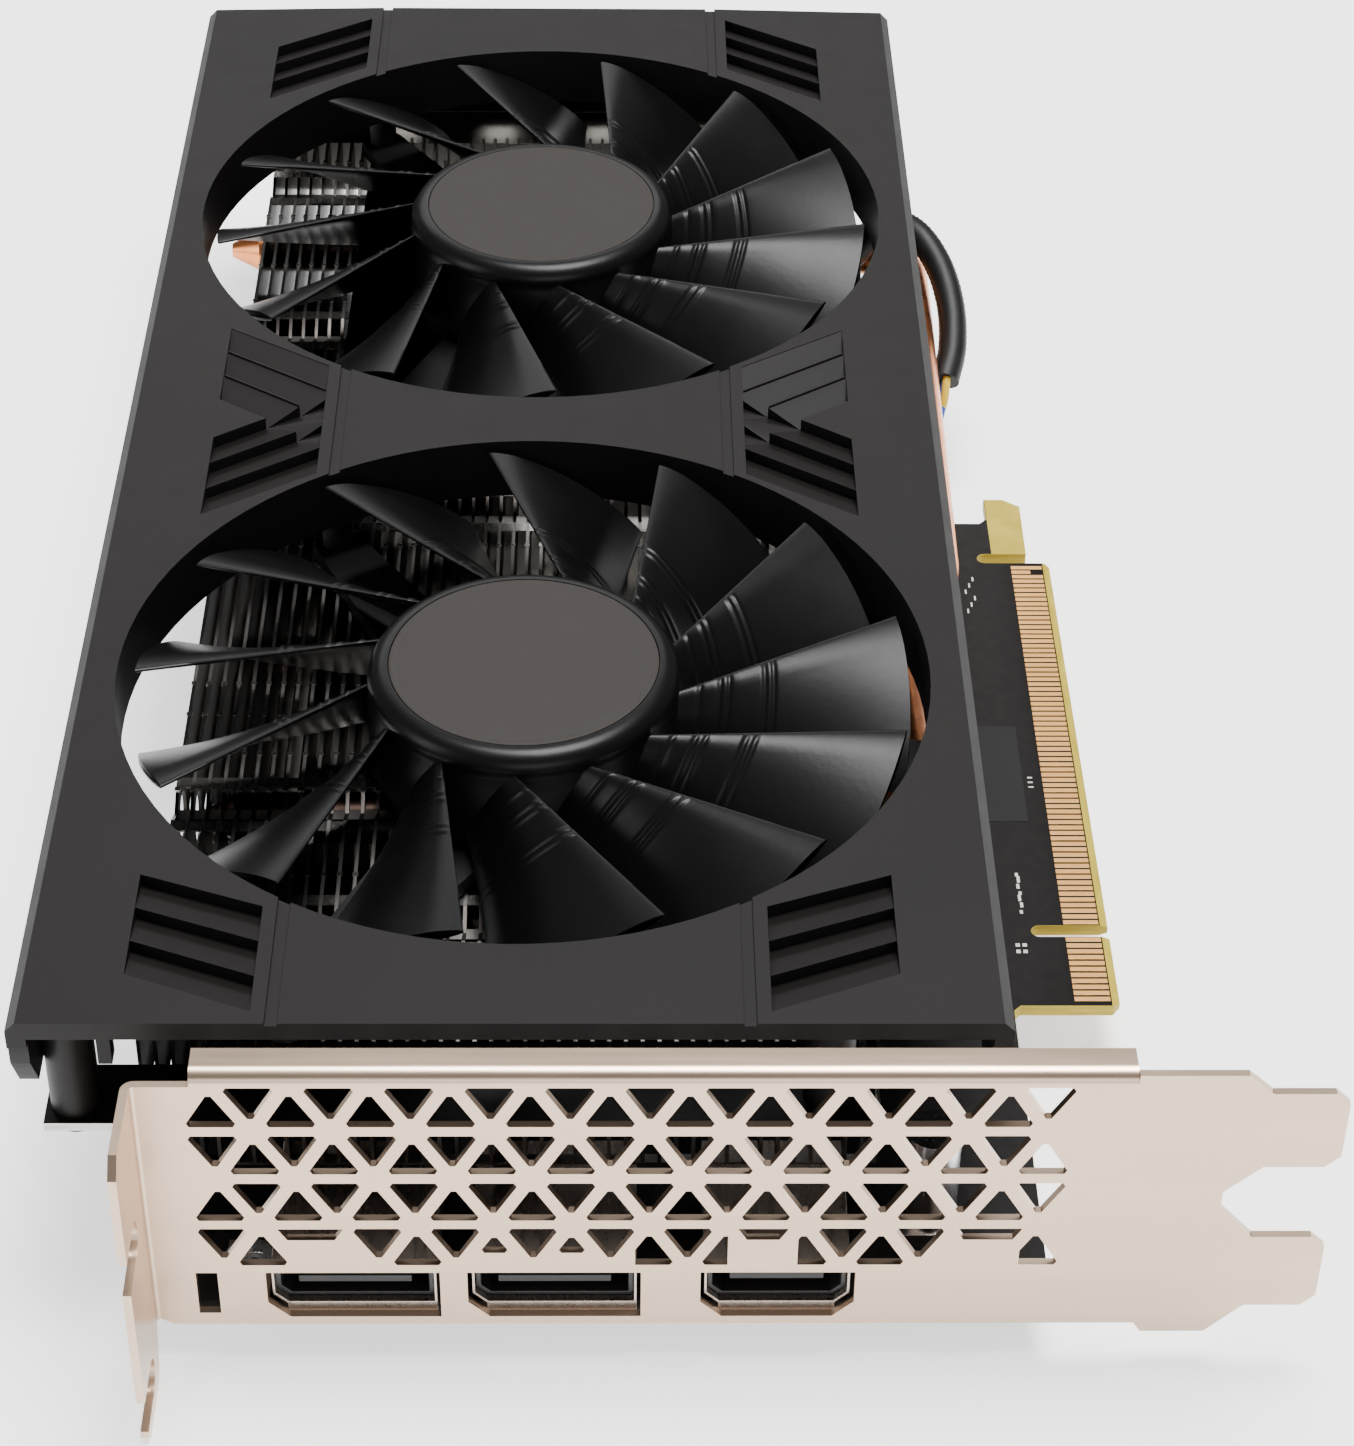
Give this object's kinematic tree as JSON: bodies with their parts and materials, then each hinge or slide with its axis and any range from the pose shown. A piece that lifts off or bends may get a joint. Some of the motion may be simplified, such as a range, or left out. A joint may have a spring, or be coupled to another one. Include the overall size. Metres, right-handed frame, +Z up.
{
  "type": "graphics card",
  "caption": "Two-slot graphics card: bracket with vents and sockets, board with edge connector, finned heatsink with heat pipes, and a flat shroud around spinning fans.",
  "frame": {"origin": "middle of the card's bounding box, at its bottom, with the card lying on its back and the fans up", "axes": "+Z up, out of the fans; +Y along the card from the slot bracket to the far end; +X from the screw tab to the edge connector"},
  "size_m": [0.1322, 0.234, 0.0424],
  "materials": {
    "bracket_sheet": "bright nickel, faintly brushed",
    "screw_steel": "turned",
    "board_mask": "black solder mask over glass laminate",
    "gold_plate": "hard gold",
    "package_green": "laminate",
    "silicon": "polished silicon",
    "black_epoxy": "moulded epoxy",
    "thermal_pad": "soft pad",
    "choke_grey": "pressed iron powder",
    "capacitor_can": "bright can",
    "ceramic_tan": "ceramic",
    "socket_black": "moulded",
    "shell_steel": "bright",
    "copper": "bare copper",
    "bare_aluminium": "bare",
    "fin_aluminium": "bare rolled sheet",
    "plate_black": "black with bare cut edges",
    "plate_steel": "zinc",
    "spring_steel": "wound wire",
    "shroud_plastic": "fine moulded texture",
    "screw_black": "black oxide",
    "fan_plastic": "satin",
    "rotor_plastic": "satin",
    "bronze": "sintered bronze",
    "lamination": "stacked sheet",
    "circuit_green": "solder mask",
    "label_grey": "blank printed film",
    "ferrite": "bonded magnet",
    "sleeve_black": "heat-shrink sleeve",
    "wire_insulation": "wire insulation",
    "plug_white": "nylon"
  },
  "bodies": {
    "card": {"bracket": "bracket_sheet", "bracket_screws": "screw_steel", "pcb": "board_mask", "edge_contacts": "gold_plate", "gpu_package": "package_green", "gpu_die": "silicon", "memory_chips": "black_epoxy", "memory_pads": "thermal_pad", "chokes": "choke_grey", "power_stages": "black_epoxy", "polymer_capacitors": "capacitor_can", "chip_capacitors": "ceramic_tan", "controller_chips": "black_epoxy", "crystal_can": "screw_steel", "power_inlet": "socket_black", "power_pins": "gold_plate", "wide_port_shells": "shell_steel", "wide_port_inserts": "socket_black", "wide_port_contacts": "gold_plate", "narrow_port_shell": "shell_steel", "narrow_port_insert": "socket_black", "narrow_port_contacts": "gold_plate", "copper_base": "copper", "heatsink_base": "bare_aluminium", "heat_pipe_long": "copper", "heat_pipe_front": "copper", "heat_pipe_rear": "copper", "fin_stack": "fin_aluminium", "front_mount_plate": "plate_black", "rear_mount_plate": "bare_aluminium", "retention_plate": "plate_steel", "spring_screws": "screw_steel", "screw_springs": "spring_steel", "shroud": "shroud_plastic", "shroud_screws": "screw_black", "fan_screws": "screw_black", "front_fan_frame": "fan_plastic", "front_fan_bearing": "bronze", "front_fan_stator": "lamination", "front_fan_windings": "copper", "front_fan_circuit": "circuit_green", "rear_fan_frame": "fan_plastic", "rear_fan_bearing": "bronze", "rear_fan_stator": "lamination", "rear_fan_windings": "copper", "rear_fan_circuit": "circuit_green", "fan_lead_sleeve": "sleeve_black", "fan_lead_wires": "wire_insulation", "motor_leads": "sleeve_black", "fan_plug": "plug_white", "fan_header": "plug_white"},
    "front_rotor": {"front_fan_rotor": "rotor_plastic", "front_fan_label": "label_grey", "front_fan_magnet": "ferrite", "front_fan_shaft": "shell_steel"},
    "rear_rotor": {"rear_fan_rotor": "rotor_plastic", "rear_fan_label": "label_grey", "rear_fan_magnet": "ferrite", "rear_fan_shaft": "shell_steel"}
  },
  "joints": [
    {"name": "front_fan_spin", "type": "hinge", "parent": "card", "child": "front_rotor", "pos_m": [-0.01622, -0.04154, 0.018], "axis": [0, 0, 1], "continuous": true},
    {"name": "rear_fan_spin", "type": "hinge", "parent": "card", "child": "rear_rotor", "pos_m": [-0.01622, 0.05847, 0.018], "axis": [0, 0, 1], "continuous": true}
  ]
}
